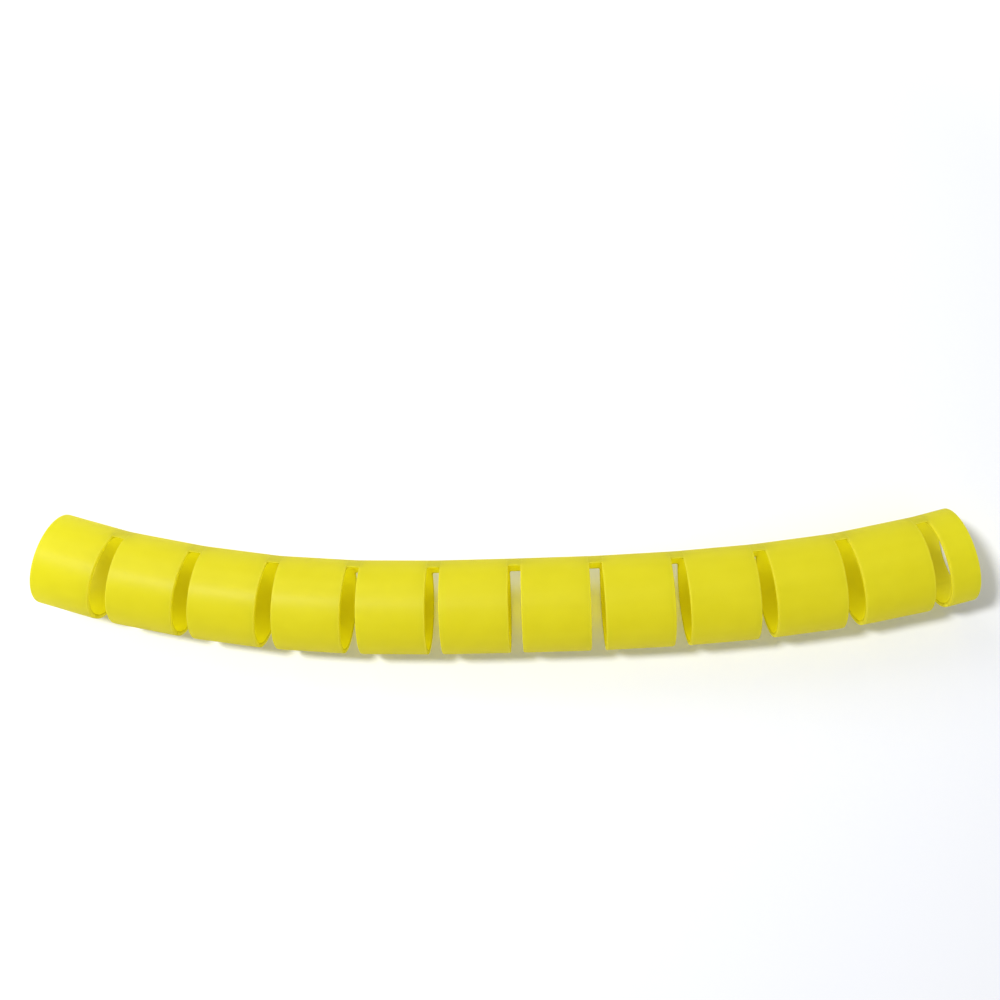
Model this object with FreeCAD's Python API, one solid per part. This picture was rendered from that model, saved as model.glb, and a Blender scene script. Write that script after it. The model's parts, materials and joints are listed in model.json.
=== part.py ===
import FreeCAD, Part
import math
import os

os.makedirs("parts", exist_ok=True)

# Slotted flexible sleeve: a thin-walled plastic tube that wraps round a hose or a bundle of
# cables. Saw cuts from one side divide it into short rings. Each cut stops short of the far
# side, so a strip called the spine stays whole and carries the rings. The spine's short bridge
# across each cut is a living hinge. Every ring is also split lengthwise opposite the spine, and
# the bundle is pressed in through that entry slit.
#
# Millimetres and degrees, +Z up. The sleeve lies on a table with its spine on the inside of a
# gentle bend, facing +Y. The origin is the middle of the bottom of its bounding box.

# Driving dimensions
TUBE_DIAMETER = 25.0
WALL = 1.25
RING_LENGTH = 17.85
LEFT_END_LENGTH = 16.4  # the first and last rings, where the sleeve was cut to length
RIGHT_END_LENGTH = 7.4
CUT_WIDTH = 3.25
SPINE_DEPTH = 2.6  # from the crown of the spine down to the flat end of each cut
ENTRY_SLIT = 0.8
FINGER_CORNER_RADIUS = 1.5  # where a ring's end faces meet the entry slit

# The set that the sleeve has taken: the turn at each living hinge, from the -X end to the +X end
FIRST_HEADING = -15.4
REST_BENDS = (4.9, 3.3, 4.0, 3.2, 1.6, 0.4, 1.4, 1.9, 2.6, 4.0, 3.2)

# Sizes that follow
OUTER_RADIUS = TUBE_DIAMETER / 2
INNER_RADIUS = OUTER_RADIUS - WALL
RING_COUNT = len(REST_BENDS) + 1
CUT_END = OUTER_RADIUS - SPINE_DEPTH  # distance from the tube's axis to the flat end of a cut

ALONG = FreeCAD.Vector(1, 0, 0)
UP = FreeCAD.Vector(0, 0, 1)


def half_chord(radius):
    """Half the width of a circle where the flat end of a cut crosses it."""
    return math.sqrt(radius**2 - CUT_END**2)


def segment_area(radius):
    """Area of a disc beyond the flat end of a cut."""
    return radius**2 * math.acos(CUT_END / radius) - CUT_END * half_chord(radius)


def segment_moment(radius):
    """First moment of that area about the tube's axis."""
    return 2 / 3 * half_chord(radius) ** 3


def neutral_radius():
    """Distance from the tube's axis to the centroid of a hinge's section, where it bends."""
    moment = segment_moment(OUTER_RADIUS) - segment_moment(INNER_RADIUS)
    return moment / (segment_area(OUTER_RADIUS) - segment_area(INNER_RADIUS))


def ring_length(number):
    cut_to_length = {1: LEFT_END_LENGTH, RING_COUNT: RIGHT_END_LENGTH}
    return cut_to_length.get(number, RING_LENGTH)


def placed(start, heading):
    """A placement at a point of the tube's axis, turned to the heading there."""
    return FreeCAD.Placement(start, FreeCAD.Rotation(UP, heading))


def ring_placements():
    """Where each ring starts: from one ring to the next, the axis turns about a hinge."""
    pivot_to_start = FreeCAD.Vector(CUT_WIDTH / 2, -neutral_radius(), 0)
    heading = FIRST_HEADING
    places = [placed(FreeCAD.Vector(0, 0, OUTER_RADIUS), heading)]
    for number, bend in enumerate(REST_BENDS, start=1):
        to_pivot = FreeCAD.Vector(ring_length(number) + CUT_WIDTH / 2, neutral_radius(), 0)
        pivot = places[-1].multVec(to_pivot)
        heading += bend
        start = pivot + FreeCAD.Rotation(UP, heading).multVec(pivot_to_start)
        places.append(placed(start, heading))
    return places


def entry_slit_cutter(length):
    """A bar as wide as the entry slit, through the wall opposite the spine."""
    corner = FreeCAD.Vector(0, -OUTER_RADIUS - WALL, -ENTRY_SLIT / 2)
    return Part.makeBox(length, 3 * WALL, ENTRY_SLIT, corner)


def finger_corners(ring, length):
    """The four short edges where the end faces meet the entry slit."""
    corners = []
    for edge in ring.Edges:
        middle = edge.BoundBox.Center
        at_slit = middle.y < -INNER_RADIUS / 2 and abs(abs(middle.z) - ENTRY_SLIT / 2) < 0.01
        at_end = min(abs(middle.x), abs(middle.x - length)) < 0.01
        if at_slit and at_end and edge.BoundBox.YLength > WALL / 2:
            corners.append(edge)
    return corners


def make_ring(length):
    """One ring from x = 0 to its length, split along -Y, its finger corners rounded."""
    base = FreeCAD.Vector(0, 0, 0)
    ring = Part.makeCylinder(OUTER_RADIUS, length, base, ALONG)
    ring = ring.cut(Part.makeCylinder(INNER_RADIUS, length, base, ALONG))
    ring = ring.cut(entry_slit_cutter(length))
    return ring.makeFillet(FINGER_CORNER_RADIUS, finger_corners(ring, length))


def hinge_section():
    """The spine's section across a cut: the tube's wall beyond the flat end of the cut."""
    outer_side, inner_side = half_chord(OUTER_RADIUS), half_chord(INNER_RADIUS)
    outer_low = FreeCAD.Vector(0, CUT_END, -outer_side)
    outer_high = FreeCAD.Vector(0, CUT_END, outer_side)
    inner_low = FreeCAD.Vector(0, CUT_END, -inner_side)
    inner_high = FreeCAD.Vector(0, CUT_END, inner_side)
    outline = [
        Part.Arc(outer_low, FreeCAD.Vector(0, OUTER_RADIUS, 0), outer_high).toShape(),
        Part.makeLine(outer_high, inner_high),
        Part.Arc(inner_high, FreeCAD.Vector(0, INNER_RADIUS, 0), inner_low).toShape(),
        Part.makeLine(inner_low, outer_low),
    ]
    return Part.Face(Part.Wire(outline))


def make_spine_hinge(bend):
    """The bridge across one cut, bent so that its neutral line keeps the width of the cut."""
    bend_radius = CUT_WIDTH / 2 / math.tan(math.radians(bend) / 2)
    bend_centre = FreeCAD.Vector(0, neutral_radius() + bend_radius, 0)
    return hinge_section().revolve(bend_centre, UP, bend)


def build_sleeve():
    """Every node's solid, by name, along the bent axis."""
    nodes = {}
    places = ring_placements()
    for number, place in enumerate(places, start=1):
        ring = make_ring(ring_length(number))
        ring.Placement = place
        nodes[f"ring_{number:02d}"] = ring
    for number, bend in enumerate(REST_BENDS, start=1):
        bridge = make_spine_hinge(bend)
        ring_end = FreeCAD.Placement(ALONG * ring_length(number), FreeCAD.Rotation())
        bridge.Placement = places[number - 1].multiply(ring_end)
        nodes[f"spine_hinge_{number:02d}"] = bridge
    return nodes


def bottom_centre(shapes):
    """The middle of the bottom of the box round all the shapes."""
    box = Part.makeCompound(shapes).optimalBoundingBox(False)
    return FreeCAD.Vector(box.Center.x, box.Center.y, box.ZMin)


sleeve = build_sleeve()
origin = bottom_centre(list(sleeve.values()))
for name, shape in sleeve.items():
    shape.translate(origin * -1)
    shape.exportStep(f"parts/{name}.step")
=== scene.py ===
import json
import math

import bpy
from mathutils import Matrix, Vector


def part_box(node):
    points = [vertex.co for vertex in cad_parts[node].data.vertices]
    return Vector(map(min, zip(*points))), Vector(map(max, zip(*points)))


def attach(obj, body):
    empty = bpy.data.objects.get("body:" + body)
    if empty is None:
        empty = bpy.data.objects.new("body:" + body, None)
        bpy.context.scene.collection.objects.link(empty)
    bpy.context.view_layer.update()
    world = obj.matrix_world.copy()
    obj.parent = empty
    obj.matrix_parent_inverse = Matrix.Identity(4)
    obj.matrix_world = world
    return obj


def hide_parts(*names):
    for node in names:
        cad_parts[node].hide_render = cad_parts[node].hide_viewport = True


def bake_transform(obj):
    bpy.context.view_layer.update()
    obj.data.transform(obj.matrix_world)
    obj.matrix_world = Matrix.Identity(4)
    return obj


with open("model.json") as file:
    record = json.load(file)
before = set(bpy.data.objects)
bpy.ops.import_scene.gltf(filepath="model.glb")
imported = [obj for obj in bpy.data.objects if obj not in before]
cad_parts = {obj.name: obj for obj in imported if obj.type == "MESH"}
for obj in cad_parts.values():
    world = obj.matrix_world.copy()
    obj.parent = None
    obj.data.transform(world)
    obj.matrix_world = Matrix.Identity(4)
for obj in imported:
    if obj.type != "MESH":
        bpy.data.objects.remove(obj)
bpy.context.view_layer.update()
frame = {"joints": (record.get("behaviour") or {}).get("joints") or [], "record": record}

# Slotted flexible sleeve: a thin-walled yellow plastic tube, cut from one side into short rings
# that hang together by a spine. Each ring is split lengthwise opposite the spine, so that the
# sleeve can be pressed over a hose or a bundle of cables. It lies on a pale table in a gentle
# bend, with the spine on the inside of the bend, facing +Y. Lengths are in metres.

bl_info = {
    "name": "Slotted Flexible Sleeve",
    "version": (1, 0, 0),
    "blender": (4, 5, 0),
    "location": "3D View > Sidebar > Sleeve",
    "description": "Builds a slotted plastic cable and hose sleeve, ring by ring",
    "category": "Add Mesh",
}

MM = 0.001
MICRON = 1e-6
MOUNTS = {mount["name"]: mount for mount in frame["record"]["mounts"]}
SKIN_CLEARANCE = 0.01 * MM  # keeps the faceted rings just inside the true tube
BRIDGE_SINK = 0.06 * MM  # how deep the ends of a bridge lie under the skins of its rings
PLACE = "place"  # attribute: along the sleeve, round the tube, and out from mid-wall
EDGE_HIGHLIGHT_ATTRIBUTE = "edge_highlight_closeness"  # attribute: 1 at a cut edge, falling to 0 inside the ring; it places the painted edge highlight
CUT_FACE = "cut_face"  # attribute: 1 on a sawn face, 0 on the tube's two skins
TABLE_LEVEL = -0.05 * MM  # a hair under the sleeve, so that the two never share a face
WHITE = (1, 1, 1, 1)


# Where the rings and the spine's hinges are, from the frame


def flat_turn(point, angle):
    """A point turned about +Z."""
    return Matrix.Rotation(angle, 3, "Z") @ point


def heading_of(direction):
    return math.atan2(direction.y, direction.x)


class Layout:
    """The bent sleeve's rings and hinges, in order from the -X end."""

    def __init__(self):
        left, right = MOUNTS["left_end_outside"], MOUNTS["right_end_outside"]
        joints = sorted(frame["joints"], key=lambda joint: joint["name"])
        pivots = [Vector(joint["pos_m"]) for joint in joints]
        true_outer = left["dims"]["r_mm"] * MM
        self.outer = true_outer - SKIN_CLEARANCE
        self.inner = MOUNTS["left_mouth"]["dims"]["r_mm"] * MM
        # A hinge is as wide as the flat end of its cut, which gives that end's distance from the axis.
        lowest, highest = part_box("spine_hinge_06")
        half_chord = (highest.z - lowest.z) / 2
        self.cut_end = math.sqrt(true_outer**2 - half_chord**2)

        first_heading = heading_of(-Vector(left["axis"]))
        to_pivot = flat_turn(pivots[0] - Vector(left["pos_m"]), -first_heading)
        first_length = left["dims"]["length_mm"] * MM
        self.cut_width = 2 * to_pivot.x - first_length
        self.neutral = to_pivot.y

        # Each ring has the middle of its axis, its heading and its length.
        self.rings = [(Vector(left["pos_m"]), first_heading, first_length)]
        for start, end in zip(pivots, pivots[1:]):
            heading = heading_of(end - start)
            to_axis = flat_turn(Vector((0, self.neutral, 0)), heading)
            length = (end - start).length - self.cut_width
            self.rings.append(((start + end) / 2 - to_axis, heading, length))
        last_length = right["dims"]["length_mm"] * MM
        self.rings.append((Vector(right["pos_m"]), heading_of(Vector(right["axis"])), last_length))
        self.pivots = pivots

    def along(self, number):
        """How far along the straightened sleeve the middle of a ring is."""
        lengths = [length for _, _, length in self.rings]
        return sum(lengths[: number - 1]) + (number - 1) * self.cut_width + lengths[number - 1] / 2


layout = Layout()


# Node trees


class Value:
    """One output of a node. Sums, products and the like add Math nodes to its tree."""

    def __init__(self, nodes, socket):
        self.nodes = nodes
        self.socket = socket

    def __add__(self, other):
        return self.nodes.math("ADD", self, other)

    def __radd__(self, other):
        return self.nodes.math("ADD", other, self)

    def __sub__(self, other):
        return self.nodes.math("SUBTRACT", self, other)

    def __rsub__(self, other):
        return self.nodes.math("SUBTRACT", other, self)

    def __mul__(self, other):
        return self.nodes.math("MULTIPLY", self, other)

    def __rmul__(self, other):
        return self.nodes.math("MULTIPLY", other, self)

    def __truediv__(self, other):
        return self.nodes.math("DIVIDE", self, other)

    def __rtruediv__(self, other):
        return self.nodes.math("DIVIDE", other, self)

    def __pow__(self, other):
        return self.nodes.math("POWER", self, other)


class Nodes:
    """Adds nodes to one tree, geometry or shader."""

    LEAST_LENGTH = 1e-9  # metres, far below anything that shows

    def __init__(self, tree):
        self.tree = tree
        tree.nodes.clear()

    def node(self, kind, settings=None, inputs=None, output=0):
        """A node of a type, with its settings, its sockets by index or identifier, and one output."""
        made = self.tree.nodes.new(kind)
        for name, setting in (settings or {}).items():
            setattr(made, name, setting)
        for key, value in (inputs or {}).items():
            socket = self.find(made.inputs, key)
            if isinstance(value, Value):
                self.tree.links.new(value.socket, socket)
            else:
                socket.default_value = value
        return Value(self, self.find(made.outputs, output))

    @staticmethod
    def find(sockets, key):
        """A socket by its index or identifier, and nothing where there is no key."""
        if key is None:
            return None
        if isinstance(key, int):
            return sockets[key]
        return next(socket for socket in sockets if socket.identifier == key)

    def math(self, operation, *values):
        return self.node("ShaderNodeMath", {"operation": operation}, dict(enumerate(values)))

    def least(self, first, second):
        return self.math("MINIMUM", first, second)

    def most(self, first, second):
        return self.math("MAXIMUM", first, second)

    def between(self, value, low, high):
        return self.least(self.most(value, low), high)

    def length(self, first, second):
        """The length of the hypotenuse, never quite 0, so that it can divide."""
        return self.most(self.math("SQRT", first * first + second * second), self.LEAST_LENGTH)

    def parts(self, vector):
        """The three parts of a vector."""
        made = self.node("ShaderNodeSeparateXYZ", inputs={0: vector}).socket.node
        return [Value(self, socket) for socket in made.outputs]

    def vector(self, x, y, z):
        return self.node("ShaderNodeCombineXYZ", inputs={0: x, 1: y, 2: z})

    def ramp(self, value, start, end, to_start=0.0, to_end=1.0, smooth=False):
        """The value moved from one range to another, and held at its ends."""
        kind = "SMOOTHSTEP" if smooth else "LINEAR"
        inputs = {
            "Value": value,
            "From Min": start,
            "From Max": end,
            "To Min": to_start,
            "To Max": to_end,
        }
        return self.node("ShaderNodeMapRange", {"interpolation_type": kind}, inputs)

    def noise(self, place, scale, detail):
        """Smooth noise from 0 to 1, at a scale in swells to the metre."""
        settings = {"noise_dimensions": "3D", "normalize": True}
        inputs = {"Vector": place, "Scale": scale, "Detail": detail}
        return self.node("ShaderNodeTexNoise", settings, inputs)

    def blend(self, factor, first, second):
        """A mix of two colours."""
        settings = {"data_type": "RGBA", "clamp_factor": True}
        inputs = {"Factor_Float": factor, "A_Color": first, "B_Color": second}
        return self.node("ShaderNodeMix", settings, inputs, "Result_Color")


class GeometryNodes(Nodes):
    """A geometry tree that makes one piece from a block of evenly spaced points."""

    SWELLS_ALONG = 14.0  # to the metre: the slow unevenness of the extruded skin
    SWELLS_AROUND = 85.0

    def __init__(self, name, numbers, points):
        tree = bpy.data.node_groups.new(name, "GeometryNodeTree")
        super().__init__(tree)
        kinds = {
            "NodeSocketFloat": numbers,
            "NodeSocketVector": points,
            "NodeSocketMaterial": ("Material",),
        }
        for kind, names in kinds.items():
            for each in names:
                tree.interface.new_socket(each, in_out="INPUT", socket_type=kind)
        tree.interface.new_socket("Geometry", in_out="OUTPUT", socket_type="NodeSocketGeometry")
        group = self.node("NodeGroupInput").socket.node
        self.given = {socket.name: Value(self, socket) for socket in group.outputs if socket.name}

    def block(self, rows):
        """A closed block with so many steps each way, and where its points are, from -1 to 1."""
        counts = {f"Vertices {axis}": steps + 1 for axis, steps in zip("XYZ", rows)}
        block = self.node("GeometryNodeMeshCube", inputs={"Size": (2, 2, 2), **counts})
        return block, self.parts(self.node("GeometryNodeInputPosition"))

    def store(self, geometry, name, value, kind):
        inputs = {"Geometry": geometry, "Name": name, "Value": value}
        return self.node("GeometryNodeStoreNamedAttribute", {"data_type": kind}, inputs)

    def finish(self, block, position, place, highlight_closeness, cut_face):
        """Moves the block's points, with what the material reads stored first."""
        geometry = self.store(block, PLACE, place, "FLOAT_VECTOR")
        geometry = self.store(geometry, EDGE_HIGHLIGHT_ATTRIBUTE, highlight_closeness, "FLOAT")
        geometry = self.store(geometry, CUT_FACE, cut_face, "FLOAT")
        inputs = {"Geometry": geometry, "Position": position}
        geometry = self.node("GeometryNodeSetPosition", inputs=inputs)
        geometry = self.node("GeometryNodeSetShadeSmooth", inputs={"Geometry": geometry})
        geometry = self.node("GeometryNodeRealizeInstances", inputs={"Geometry": geometry})
        inputs = {"Geometry": geometry, "Material": self.given["Material"]}
        geometry = self.node("GeometryNodeSetMaterial", inputs=inputs)
        self.node("NodeGroupOutput", inputs={0: geometry}, output=None)

    def zoned(self, share, zones):
        """Shares from 0 to 1, evenly spaced, spent zone by zone on each zone's rows and length."""
        rows = sum(count for count, _ in zones)
        total = 0.0
        start = 0
        for count, length in zones:
            step = self.ramp(share, start / rows, (start + count) / rows, 0.0, length)
            total = step + total
            start += count
        return total

    def rounded(self, across, out, reach, half_wall, edge):
        """Rounds the edges of a wall, where across comes to reach at its sawn face and out to half
        the wall at its skin. Also gives how far each point is onto the sawn face, from 0 to 1.
        """
        over_across = self.most(across - (reach - edge), 0.0)
        over_out = self.most(out - (half_wall - edge), 0.0)
        pull = self.most(over_across, over_out) / self.length(over_across, over_out)
        round_across = self.least(across, reach - edge) + over_across * pull
        round_out = self.least(out, half_wall - edge) + over_out * pull
        return round_across, round_out, over_across / edge

    def skin_dip(self, along, around):
        """The extruded skin's slow unevenness, from 0 to 1."""
        swells = self.vector(along * self.SWELLS_ALONG, around * self.SWELLS_AROUND, 0.0)
        return self.noise(swells, 1.0, detail=1.0)

    def turned(self, x, y, z, heading, centre):
        """A point turned by a heading about +Z and moved to a centre."""
        centre_x, centre_y, centre_z = self.parts(centre)
        cosine, sine = self.math("COSINE", heading), self.math("SINE", heading)
        turned_x = x * cosine - y * sine
        turned_y = x * sine + y * cosine
        return self.vector(turned_x + centre_x, turned_y + centre_y, z + centre_z)


# Rows of faces on half a ring: middle, rim and edge along it, the same round it, then middle and
# edge on half its wall
RING_ROWS = ((6, 5, 3), (48, 5, 3), (1, 3))
# Rows of faces on a bridge: all along it, then middle and edge on half its width and half its wall
HINGE_ROWS = (26, (20, 3), (1, 3))
SINK_LENGTH = 1.8  # in covers: where, past the ring's face, a bridge is down at its full sink
HIGHLIGHT_FROM = 0.8  # of a bridge's half width: where the painted highlight along its edges begins


def ring_tree():
    """One ring: a plate with rounded corners and edges, wrapped round the axis up to the entry slit.
    On the plate, x runs along the ring, s round it from the spine, and h outwards from mid-wall.
    """
    numbers = (
        "Length", "Outer Radius", "Inner Radius", "Entry Slit",
        "Corner Radius", "Edge Radius", "Along", "Skin Dip", "Heading",
    )
    tree = GeometryNodes("Sleeve Ring", numbers, ("Centre",))
    given = tree.given
    corner, edge, outer = given["Corner Radius"], given["Edge Radius"], given["Outer Radius"]
    half_wall = (outer - given["Inner Radius"]) / 2
    middle = outer - half_wall
    half_length = given["Length"] / 2
    half_slit_angle = tree.math("ARCSINE", given["Entry Slit"] / 2 / outer)
    half_round = outer * (math.pi - half_slit_angle)

    block, shares = tree.block([2 * sum(rows) for rows in RING_ROWS])
    signs = [tree.math("SIGN", share) for share in shares]
    x_share, s_share, h_share = [tree.math("ABSOLUTE", share) for share in shares]
    (x_mid, x_rim, x_edge), (s_mid, s_rim, s_edge), (h_mid, h_edge) = RING_ROWS
    rim_width = corner - edge
    x = tree.zoned(x_share, [(x_mid, half_length - corner), (x_rim, rim_width), (x_edge, edge)])
    s = tree.zoned(s_share, [(s_mid, half_round - corner), (s_rim, rim_width), (s_edge, edge)])
    h = tree.zoned(h_share, [(h_mid, half_wall - edge), (h_edge, edge)])

    # Past a corner's centre, the plate's square rows are drawn in to arcs round it.
    inner_x = tree.least(x, half_length - corner)
    inner_s = tree.least(s, half_round - corner)
    beyond_x = x - inner_x
    beyond_s = s - inner_s
    reach = tree.most(beyond_x, beyond_s)
    across, out, cut_face = tree.rounded(reach, h, corner, half_wall, edge)
    shrink = across / tree.length(beyond_x, beyond_s)
    x = (inner_x + beyond_x * shrink) * signs[0]
    s = (inner_s + beyond_s * shrink) * signs[1]
    out = out * signs[2]

    along = x + given["Along"]
    radius = middle + out - tree.skin_dip(along, s) * given["Skin Dip"]
    angle = s / outer
    y = radius * tree.math("COSINE", angle)
    z = radius * tree.math("SINE", angle) * -1.0
    position = tree.turned(x, y, z, given["Heading"], given["Centre"])
    # The closeness to a cut edge places the painted highlight along it.
    tree.finish(block, position, tree.vector(along, s, out), across / corner, cut_face)
    return tree.tree


def hinge_tree():
    """The spine's bridge across one cut, bent with the sleeve and let into the ring on each side."""
    numbers = (
        "Cut Width", "Cut End", "Outer Radius", "Inner Radius", "Neutral Radius", "Root Fillet",
        "Edge Radius", "Cover", "Sink", "Along", "Skin Dip", "Bend", "Heading",
    )
    tree = GeometryNodes("Spine Hinge", numbers, ("Pivot",))
    given = tree.given
    outer, edge, bend = given["Outer Radius"], given["Edge Radius"], given["Bend"]
    half_wall = (outer - given["Inner Radius"]) / 2
    middle = outer - half_wall
    half_cut = given["Cut Width"] / 2
    half_length = half_cut + given["Cover"] * 2.0
    half_round = middle * tree.math("ARCCOSINE", given["Cut End"] / middle)

    x_rows, (s_mid, s_edge), (h_mid, h_edge) = HINGE_ROWS
    block, shares = tree.block([x_rows, 2 * (s_mid + s_edge), 2 * (h_mid + h_edge)])
    sign_s, sign_h = [tree.math("SIGN", share) for share in shares[1:]]
    s_share, h_share = [tree.math("ABSOLUTE", share) for share in shares[1:]]
    x = shares[0] * half_length
    s = tree.zoned(s_share, [(s_mid, half_round - edge), (s_edge, edge)])
    h = tree.zoned(h_share, [(h_mid, half_wall - edge), (h_edge, edge)])
    s, out, cut_face = tree.rounded(s, h, half_round, half_wall, edge)

    # The flat end of the cut runs into each ring's face with a small fillet.
    fillet = given["Root Fillet"]
    from_middle = tree.math("ABSOLUTE", x)
    into_fillet = tree.between(from_middle - (half_cut - fillet), 0.0, fillet)
    flare = fillet - tree.math("SQRT", fillet * fillet - into_fillet * into_fillet)
    # Inside a ring, the bridge sinks under both skins.
    sink_end = given["Cover"] * SINK_LENGTH
    sunk = tree.ramp(from_middle - half_cut, given["Cover"], sink_end, 0.0, given["Sink"])
    level = middle + (out - sunk) * sign_h
    half_angle = tree.math("ARCCOSINE", (given["Cut End"] - flare) / level)
    angle = s / half_round * sign_s * half_angle
    along = x + given["Along"]
    around = angle * outer
    radius = level - tree.skin_dip(along, around) * given["Skin Dip"]
    y = radius * tree.math("COSINE", angle) - given["Neutral Radius"]
    z = radius * tree.math("SINE", angle) * -1.0

    # The bridge follows an arc between the two faces, and runs straight into each ring.
    bend_radius = half_cut / tree.math("TANGENT", bend / 2)
    on_arc = tree.between(x, half_cut * -1.0, half_cut)
    turn = on_arc / given["Cut Width"] * bend
    cosine, sine = tree.math("COSINE", turn), tree.math("SINE", turn)
    straight = x - on_arc
    to_centre = bend_radius / tree.math("COSINE", bend / 2)
    bent_x = (bend_radius - y) * sine + straight * cosine
    bent_y = to_centre - (bend_radius - y) * cosine + straight * sine
    position = tree.turned(bent_x, bent_y, z, given["Heading"], given["Pivot"])
    # The painted highlight runs along the bridge's edges.
    highlight_closeness = tree.ramp(s / half_round, HIGHLIGHT_FROM, 1.0)
    tree.finish(block, position, tree.vector(along, around, out * sign_h), highlight_closeness, cut_face)
    return tree.tree


def grown(context, name, tree, given):
    """A piece with the plain mesh that a tree makes from the given values."""
    piece = bpy.data.objects.new(name, bpy.data.meshes.new(name))
    context.scene.collection.objects.link(piece)
    modifier = piece.modifiers.new("Build", "NODES")
    modifier.node_group = tree
    for item in tree.interface.items_tree:
        if item.in_out == "INPUT":
            modifier[item.identifier] = given[item.name]
    depsgraph = context.evaluated_depsgraph_get()
    mesh = bpy.data.meshes.new_from_object(
        piece.evaluated_get(depsgraph), preserve_all_data_layers=True, depsgraph=depsgraph
    )
    piece.modifiers.remove(modifier)
    piece.data = mesh
    mesh.name = name
    return piece


# The plastic

# The scale of each pattern in it, in swells to the metre
LINES = 1100.0
BROAD_LINES = 260.0
MOTTLE = 110.0
GRAIN = 3800.0
SAW_MARKS = 2600.0
# How many of its swells a pattern has along the sleeve for each one round it
LINES_ALONG = 0.02
BROAD_LINES_ALONG = 0.03
# The same for the saw's marks, for each one towards the spine
SAW_MARKS_ALONG = 4.0
SAW_MARKS_AROUND = 0.04
# How much each pattern darkens or lightens the skin
MOTTLE_SHADE = 0.9
BROAD_LINE_SHADE = 0.6
# How much each roughens it
GRAIN_ROUGHNESS = 0.08
LINE_ROUGHNESS = 0.1
SAWN_ROUGHNESS = 0.15
# How high each stands on the skin or, for the saw's marks, on a sawn face
LINE_HEIGHT = 4.0 * MICRON
BROAD_LINE_HEIGHT = 10.0 * MICRON
GRAIN_HEIGHT = 1.2 * MICRON
MOTTLE_HEIGHT = 20.0 * MICRON
SAW_MARK_HEIGHT = 25.0 * MICRON
HIGHLIGHT_FALL_OFF = 6.0  # power by which the painted highlight along a cut edge dies away
BORE_DEPTH = 0.5 * MM  # from mid-wall to where the painted glow of the bore is whole
REFRACTION = 1.5
SPECULAR = 0.35


def yellow_plastic(finish):
    """Satin yellow polypropylene, which passes much of its light on, with a painted highlight along
    its cut edges, a painted glow in its bore and painted shade on its sawn faces.
    """
    name = "satin_yellow_plastic"
    found = bpy.data.materials.get(name)
    if found:
        return found
    material = bpy.data.materials.new(name)
    material.use_nodes = True
    nodes = Nodes(material.node_tree)
    place = nodes.node("ShaderNodeAttribute", {"attribute_name": PLACE}, output="Vector")
    highlight_closeness = nodes.node("ShaderNodeAttribute", {"attribute_name": EDGE_HIGHLIGHT_ATTRIBUTE}, output="Fac")
    cut_face = nodes.node("ShaderNodeAttribute", {"attribute_name": CUT_FACE}, output="Fac")
    along, around, depth = nodes.parts(place)

    # The extruder's lines run the length of the sleeve, and fade in and out along it.
    lines_place = nodes.vector(along * LINES_ALONG, around, 0.0)
    lines = nodes.noise(lines_place, LINES, detail=3.0)
    broad_place = nodes.vector(along * BROAD_LINES_ALONG, around, 0.5)
    broad_lines = nodes.noise(broad_place, BROAD_LINES, detail=1.0)
    mottle = nodes.noise(place, MOTTLE, detail=3.0)
    grain = nodes.noise(place, GRAIN, detail=1.0)
    # The saw's teeth run parallel to the flat end of each cut, and leave their marks that way.
    to_spine = (depth + layout.inner) * nodes.math("COSINE", around / layout.outer)
    saw_place = nodes.vector(along * SAW_MARKS_ALONG, to_spine, around * SAW_MARKS_AROUND)
    saw_marks = nodes.noise(saw_place, SAW_MARKS, detail=2.0)

    # Painted highlight: the outer cut edges are painted a paler yellow, standing in for light caught
    # by their rounding.
    edge_highlight_mask = highlight_closeness**HIGHLIGHT_FALL_OFF
    shade = 0.5 + (mottle - 0.5) * MOTTLE_SHADE + (broad_lines - 0.5) * BROAD_LINE_SHADE
    shade = nodes.between(shade, 0.0, 1.0)
    outside = nodes.blend(shade, (*finish.deep, 1), (*finish.light, 1))
    # Painted glow: the bore is painted a brighter, more orange yellow, standing in for light that
    # passes through the walls and bounces inside the tube.
    inside = nodes.ramp(depth, 0.0, -BORE_DEPTH)
    skin = nodes.blend(inside, outside, (*finish.bore_glow, 1))
    # Painted shade: the sawn faces are painted a darker yellow, to hold back the glow of light passing
    # through the wall.
    skin = nodes.blend(cut_face, skin, (*finish.sawn, 1))
    highlit_skin = nodes.blend(edge_highlight_mask * finish.edge_highlight * (1.0 - inside), skin, (*finish.edge, 1))
    roughness = finish.roughness + (grain - 0.5) * GRAIN_ROUGHNESS
    roughness = roughness + (lines - 0.5) * LINE_ROUGHNESS + cut_face * SAWN_ROUGHNESS
    relief = lines * LINE_HEIGHT + broad_lines * BROAD_LINE_HEIGHT
    relief = relief + grain * GRAIN_HEIGHT + mottle * MOTTLE_HEIGHT
    relief = relief + cut_face * saw_marks * SAW_MARK_HEIGHT
    bump = nodes.node("ShaderNodeBump", inputs={"Strength": 1.0, "Distance": 1.0, "Height": relief})

    surface = nodes.node(
        "ShaderNodeBsdfPrincipled",
        inputs={
            "Base Color": highlit_skin,
            "Roughness": roughness,
            "Normal": bump,
            "IOR": REFRACTION,
            "Specular IOR Level": SPECULAR,
        },
    )
    through = nodes.node("ShaderNodeBsdfTranslucent", inputs={"Color": highlit_skin, "Normal": bump})
    shares = {0: finish.light_through, 1: surface, 2: through}
    plastic = nodes.node("ShaderNodeMixShader", inputs=shares)
    nodes.node("ShaderNodeOutputMaterial", inputs={"Surface": plastic}, output=None)
    return material


# The stage

# In half widths of the table: where it begins to fade into the white room, and where it is gone
FADE_START = 0.4
FADE_END = 0.85
NEAREST_SEEN = 10 * MM  # the camera sees nothing closer


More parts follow.
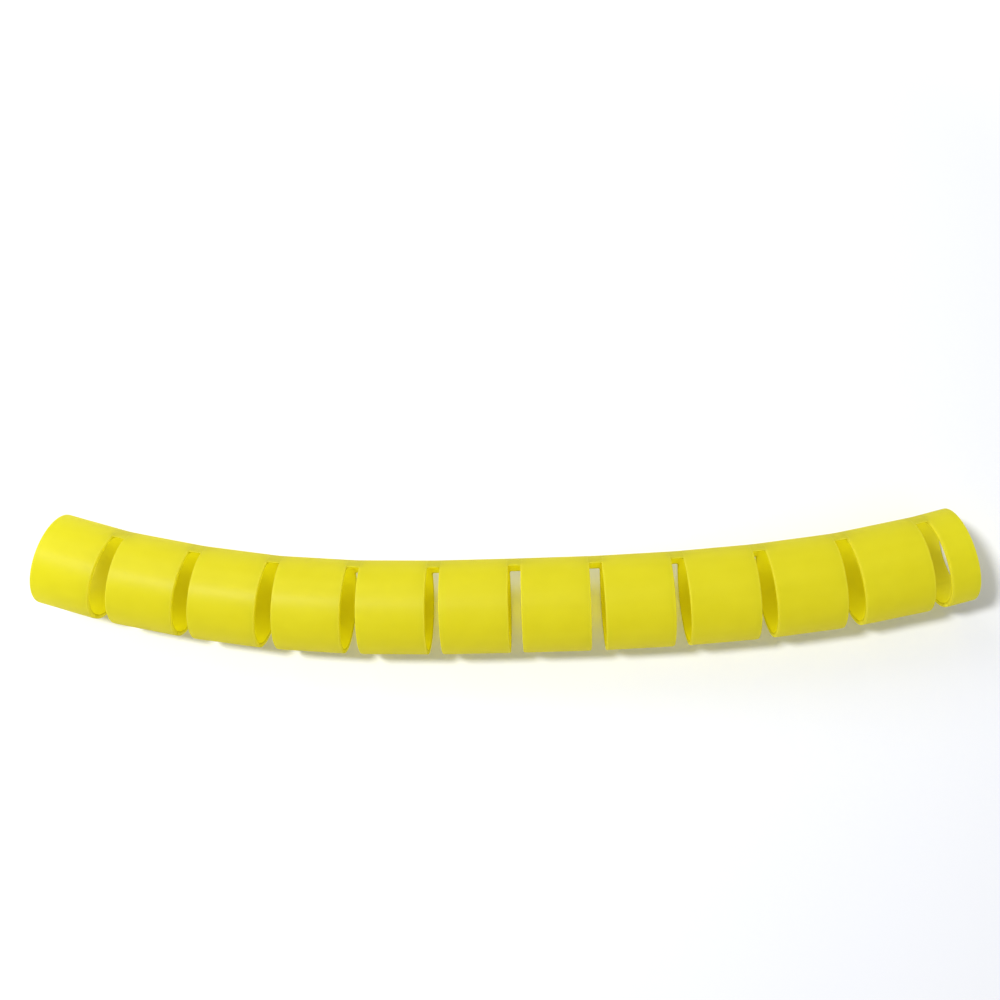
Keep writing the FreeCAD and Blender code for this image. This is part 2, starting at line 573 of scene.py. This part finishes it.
def seen_directly(nodes):
    """1 for the camera, a reflection and a look through glass, 0 for the light on the sleeve."""
    path = nodes.node("ShaderNodeLightPath").socket.node
    camera, glossy, clear = (
        Value(nodes, Nodes.find(path.outputs, key))
        for key in ("Is Camera Ray", "Is Glossy Ray", "Is Transmission Ray")
    )
    return nodes.most(nodes.most(camera, glossy), clear)


def white_world(context, fill):
    """Even white light from all round, seen as plain white."""
    world = bpy.data.worlds.new("white_room")
    world.use_nodes = True
    nodes = Nodes(world.node_tree)
    strength = fill + seen_directly(nodes) * (1.0 - fill)
    light = nodes.node("ShaderNodeBackground", inputs={"Color": WHITE, "Strength": strength})
    nodes.node("ShaderNodeOutputWorld", inputs={"Surface": light}, output=None)
    context.scene.world = world


def table_top(context, stage):
    """A wide table just under the sleeve, which looks white wherever no shadow lies."""
    side = stage.table_size / 2
    signs = ((-1, -1), (1, -1), (1, 1), (-1, 1))
    corners = [(x * side, y * side, TABLE_LEVEL) for x, y in signs]
    mesh = bpy.data.meshes.new("table_top")
    mesh.from_pydata(corners, [], [(0, 1, 2, 3)])
    table = bpy.data.objects.new("table_top", mesh)
    context.scene.collection.objects.link(table)

    material = bpy.data.materials.new("white_table")
    material.use_nodes = True
    nodes = Nodes(material.node_tree)
    paint = nodes.node("ShaderNodeBsdfDiffuse", inputs={"Color": (*stage.table_colour, 1)})
    # Well away from the sleeve it fades into the white of the room, so that its edge never shows.
    x, y, _ = nodes.parts(nodes.node("ShaderNodeTexCoord", output="Object"))
    far = nodes.ramp(nodes.length(x, y), side * FADE_START, side * FADE_END, smooth=True)
    lift = nodes.blend(far, (*stage.table_lift, 1), WHITE)
    seen = {"Color": lift, "Strength": seen_directly(nodes)}
    glow = nodes.node("ShaderNodeEmission", inputs=seen)
    top = nodes.node("ShaderNodeAddShader", inputs={0: paint, 1: glow})
    nodes.node("ShaderNodeOutputMaterial", inputs={"Surface": top}, output=None)
    mesh.materials.append(material)


def looking(from_point, at_point, up):
    """The place and turn of a camera or lamp that looks from one point at another."""
    forward = (at_point - from_point).normalized()
    right = forward.cross(up).normalized()
    turn = Matrix((right, right.cross(forward), -forward)).transposed()
    return Matrix.Translation(from_point) @ turn.to_4x4()


def soft_lamp(context, name, place, size, power):
    """A round lamp that points at the sleeve."""
    lamp = bpy.data.lights.new(name, "AREA")
    lamp.shape = "DISK"
    lamp.size = size
    lamp.energy = power
    holder = bpy.data.objects.new(name, lamp)
    holder.matrix_world = looking(Vector(place), Vector((0, 0, 0)), Vector((0, 1, 0)))
    context.scene.collection.objects.link(holder)


def camera(context, stage):
    """A camera almost straight above the sleeve, which lies a little low in its view."""
    lens = bpy.data.cameras.new("camera")
    lens.lens = stage.lens
    lens.clip_start = NEAREST_SEEN
    holder = bpy.data.objects.new("camera", lens)
    lean = Matrix.Rotation(stage.camera_lean, 4, "Z")
    place, aim = Vector(stage.camera_place), Vector(stage.camera_aim)
    holder.matrix_world = looking(place, aim, Vector((0, 1, 0))) @ lean
    context.scene.collection.objects.link(holder)
    context.scene.camera = holder


# What a user may change


class SleeveSizes(bpy.types.PropertyGroup):
    """Sizes of the sleeve's details."""

    entry_slit: bpy.props.FloatProperty(
        name="Entry Slit", description="Width of the lengthwise slit opposite the spine",
        default=0.8 * MM, min=0.1 * MM, unit="LENGTH", subtype="DISTANCE",
    )
    corner_radius: bpy.props.FloatProperty(
        name="Finger Corners", description="Radius where a ring's end faces meet the entry slit",
        default=1.5 * MM, min=0.5 * MM, unit="LENGTH", subtype="DISTANCE",
    )
    edge_radius: bpy.props.FloatProperty(
        name="Cut Edges", description="Radius of the wall's edges where it was sawn",
        default=0.2 * MM, min=0.02 * MM, unit="LENGTH", subtype="DISTANCE",
    )
    root_fillet: bpy.props.FloatProperty(
        name="Root Fillet", description="Radius in the corners at the end of each cut",
        default=0.35 * MM, min=0.05 * MM, unit="LENGTH", subtype="DISTANCE",
    )
    skin_dip: bpy.props.FloatProperty(
        name="Skin Unevenness", description="Depth of the slow unevenness of the extruded skin",
        default=0.05 * MM, min=0.0, unit="LENGTH", subtype="DISTANCE",
    )


class SleeveFinish(bpy.types.PropertyGroup):
    """Colours and gloss of the yellow plastic, with its painted edge highlight, painted bore glow and
    painted sawn-face shade.
    """

    deep: bpy.props.FloatVectorProperty(
        name="Deep Yellow", description="The plastic's darker yellow", size=3,
        default=(0.765, 0.745, 0.029), min=0, max=1, subtype="COLOR",
    )
    light: bpy.props.FloatVectorProperty(
        name="Light Yellow", description="The plastic's lighter yellow", size=3,
        default=(0.82, 0.805, 0.048), min=0, max=1, subtype="COLOR",
    )
    # Painted glow: a brighter yellow for the inside skin, standing in for the light inside the tube;
    # the plastic is one yellow through.
    bore_glow: bpy.props.FloatVectorProperty(
        name="Bore Glow", description="The yellow inside the tube", size=3,
        default=(1.0, 0.94, 0.10), min=0, max=1, subtype="COLOR",
    )
    # Painted shade: a darker yellow for the sawn faces, holding back their glow from light through the
    # wall.
    sawn: bpy.props.FloatVectorProperty(
        name="Sawn Shade", description="The duller yellow of a sawn face", size=3,
        default=(0.68, 0.63, 0.03), min=0, max=1, subtype="COLOR",
    )
    # Painted highlight: the colour that the cut edges are painted, and below it how strongly, standing
    # in for light caught by their rounding.
    edge: bpy.props.FloatVectorProperty(
        name="Edge Highlight Yellow", description="The paler yellow along a cut edge", size=3,
        default=(0.95, 0.91, 0.15), min=0, max=1, subtype="COLOR",
    )
    edge_highlight: bpy.props.FloatProperty(
        name="Edge Highlight", description="How much paler the plastic is along a cut edge",
        default=0.6, min=0, max=1, subtype="FACTOR",
    )
    roughness: bpy.props.FloatProperty(
        name="Roughness", description="Roughness of the skin", default=0.42, min=0, max=1,
        subtype="FACTOR",
    )
    light_through: bpy.props.FloatProperty(
        name="Light Through", description="Share of the light that passes into the wall",
        default=0.67, min=0, max=1, subtype="FACTOR",
    )


class SleeveStage(bpy.types.PropertyGroup):
    """The table, the light and the camera."""

    table_colour: bpy.props.FloatVectorProperty(
        name="Table", description="Colour of the table top", size=3,
        default=(0.94, 0.95, 0.98), min=0, max=1, subtype="COLOR",
    )
    table_size: bpy.props.FloatProperty(
        name="Table Size", description="Side of the square table top",
        default=0.9, min=0.3, unit="LENGTH", subtype="DISTANCE",
    )
    table_lift: bpy.props.FloatVectorProperty(
        name="Table Lift", description="What is added to the table where it is seen", size=3,
        default=(0.01, 0.015, 0.03), min=0, max=1, subtype="COLOR",
    )
    fill: bpy.props.FloatProperty(
        name="Fill Light", description="Strength of the even light from all round",
        default=0.37, min=0, max=1, subtype="FACTOR",
    )
    key_power: bpy.props.FloatProperty(
        name="Main Lamp", description="Power of the lamp above the sleeve",
        default=4.8, min=0, unit="POWER",
    )
    key_place: bpy.props.FloatVectorProperty(
        name="Main Lamp Place", description="Where the lamp above the sleeve hangs", size=3,
        default=(-0.31, 0.07, 0.76), unit="LENGTH", subtype="TRANSLATION",
    )
    key_size: bpy.props.FloatProperty(
        name="Main Lamp Size", description="Width of the lamp above the sleeve",
        default=0.12, min=0.01, unit="LENGTH", subtype="DISTANCE",
    )
    side_power: bpy.props.FloatProperty(
        name="Side Lamp", description="Power of the soft lamp beyond the spine",
        default=0.9, min=0, unit="POWER",
    )
    side_place: bpy.props.FloatVectorProperty(
        name="Side Lamp Place", description="Where the soft lamp beyond the spine hangs", size=3,
        default=(-0.25, 0.42, 0.45), unit="LENGTH", subtype="TRANSLATION",
    )
    side_size: bpy.props.FloatProperty(
        name="Side Lamp Size", description="Width of the soft lamp beyond the spine",
        default=0.35, min=0.01, unit="LENGTH", subtype="DISTANCE",
    )
    camera_place: bpy.props.FloatVectorProperty(
        name="Camera Place", description="Where the camera is", size=3,
        default=(0.0151, -0.0285, 0.3142), unit="LENGTH", subtype="TRANSLATION",
    )
    camera_aim: bpy.props.FloatVectorProperty(
        name="Camera Aim", description="The point in the middle of the camera's view", size=3,
        default=(0.0004, 0.0219, 0.0125), unit="LENGTH", subtype="TRANSLATION",
    )
    camera_lean: bpy.props.FloatProperty(
        name="Camera Lean", description="Turn of the camera about its line of sight",
        default=math.radians(0.44), unit="ROTATION", subtype="ANGLE",
    )
    lens: bpy.props.FloatProperty(
        name="Lens", description="Focal length of the camera", default=40.9, min=10,
        unit="CAMERA",
    )


# What builds each group of pieces


class BuildRings(bpy.types.Operator):
    """Build the sleeve's rings, one on each segment."""

    bl_idname = "sleeve.build_rings"
    bl_label = "Rings"

    def execute(self, context):
        sizes = context.scene.sleeve_sizes
        tree = ring_tree()
        for number, (centre, heading, length) in enumerate(layout.rings, start=1):
            given = {
                "Length": length,
                "Outer Radius": layout.outer,
                "Inner Radius": layout.inner,
                "Entry Slit": sizes.entry_slit,
                "Corner Radius": sizes.corner_radius,
                "Edge Radius": sizes.edge_radius,
                "Along": layout.along(number),
                "Skin Dip": sizes.skin_dip,
                "Heading": heading,
                "Centre": centre,
                "Material": yellow_plastic(context.scene.sleeve_finish),
            }
            ring = grown(context, f"sleeve_ring_{number:02d}", tree, given)
            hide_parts(f"ring_{number:02d}")
            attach(ring, f"segment_{number:02d}")
        return {"FINISHED"}


class BuildSpineHinges(bpy.types.Operator):
    """Build the spine's living hinges, one across each cut."""

    bl_idname = "sleeve.build_spine_hinges"
    bl_label = "Spine Hinges"

    def execute(self, context):
        sizes = context.scene.sleeve_sizes
        tree = hinge_tree()
        for number, pivot in enumerate(layout.pivots, start=1):
            _, before, length_before = layout.rings[number - 1]
            _, after, _ = layout.rings[number]
            cut_middle = layout.along(number) + (length_before + layout.cut_width) / 2
            given = {
                "Cut Width": layout.cut_width,
                "Cut End": layout.cut_end,
                "Outer Radius": layout.outer,
                "Inner Radius": layout.inner,
                "Neutral Radius": layout.neutral,
                "Root Fillet": sizes.root_fillet,
                "Edge Radius": sizes.edge_radius / 2,
                "Cover": sizes.edge_radius,
                "Sink": BRIDGE_SINK,
                "Along": cut_middle,
                "Skin Dip": sizes.skin_dip,
                "Bend": after - before,
                "Heading": (before + after) / 2,
                "Pivot": pivot,
                "Material": yellow_plastic(context.scene.sleeve_finish),
            }
            hinge = grown(context, f"sleeve_spine_{number:02d}", tree, given)
            half_cut = Vector((layout.cut_width / 2, 0, 0))
            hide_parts(f"spine_hinge_{number:02d}")
            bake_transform(hinge)
        return {"FINISHED"}


class BuildStage(bpy.types.Operator):
    """Set out the table, the light and the camera."""

    bl_idname = "sleeve.build_stage"
    bl_label = "Stage"

    def execute(self, context):
        stage = context.scene.sleeve_stage
        context.scene.view_settings.view_transform = "Standard"
        white_world(context, stage.fill)
        table_top(context, stage)
        soft_lamp(context, "main_lamp", stage.key_place, stage.key_size, stage.key_power)
        soft_lamp(context, "side_lamp", stage.side_place, stage.side_size, stage.side_power)
        camera(context, stage)
        return {"FINISHED"}


class SleevePanel(bpy.types.Panel):
    """Lists the sleeve's sizes, finish and stage, with what builds them."""

    bl_idname = "VIEW3D_PT_sleeve"
    bl_label = "Slotted Sleeve"
    bl_space_type = "VIEW_3D"
    bl_region_type = "UI"
    bl_category = "Sleeve"

    def draw(self, context):
        scene = context.scene
        for group in (scene.sleeve_sizes, scene.sleeve_finish, scene.sleeve_stage):
            box = self.layout.box()
            for name in type(group).__annotations__:
                box.prop(group, name)
        for operator in OPERATORS:
            self.layout.operator(operator.bl_idname)


GROUPS = {"sleeve_sizes": SleeveSizes, "sleeve_finish": SleeveFinish, "sleeve_stage": SleeveStage}
OPERATORS = (BuildRings, BuildSpineHinges, BuildStage)
CLASSES = (*GROUPS.values(), *OPERATORS, SleevePanel)


def register():
    for each in CLASSES:
        bpy.utils.register_class(each)
    for name, group in GROUPS.items():
        setattr(bpy.types.Scene, name, bpy.props.PointerProperty(type=group))


def unregister():
    for name in GROUPS:
        delattr(bpy.types.Scene, name)
    for each in reversed(CLASSES):
        bpy.utils.unregister_class(each)


def main():
    register()
    bpy.ops.sleeve.build_rings()
    bpy.ops.sleeve.build_spine_hinges()
    bpy.ops.sleeve.build_stage()


if __name__ == "__main__":
    main()
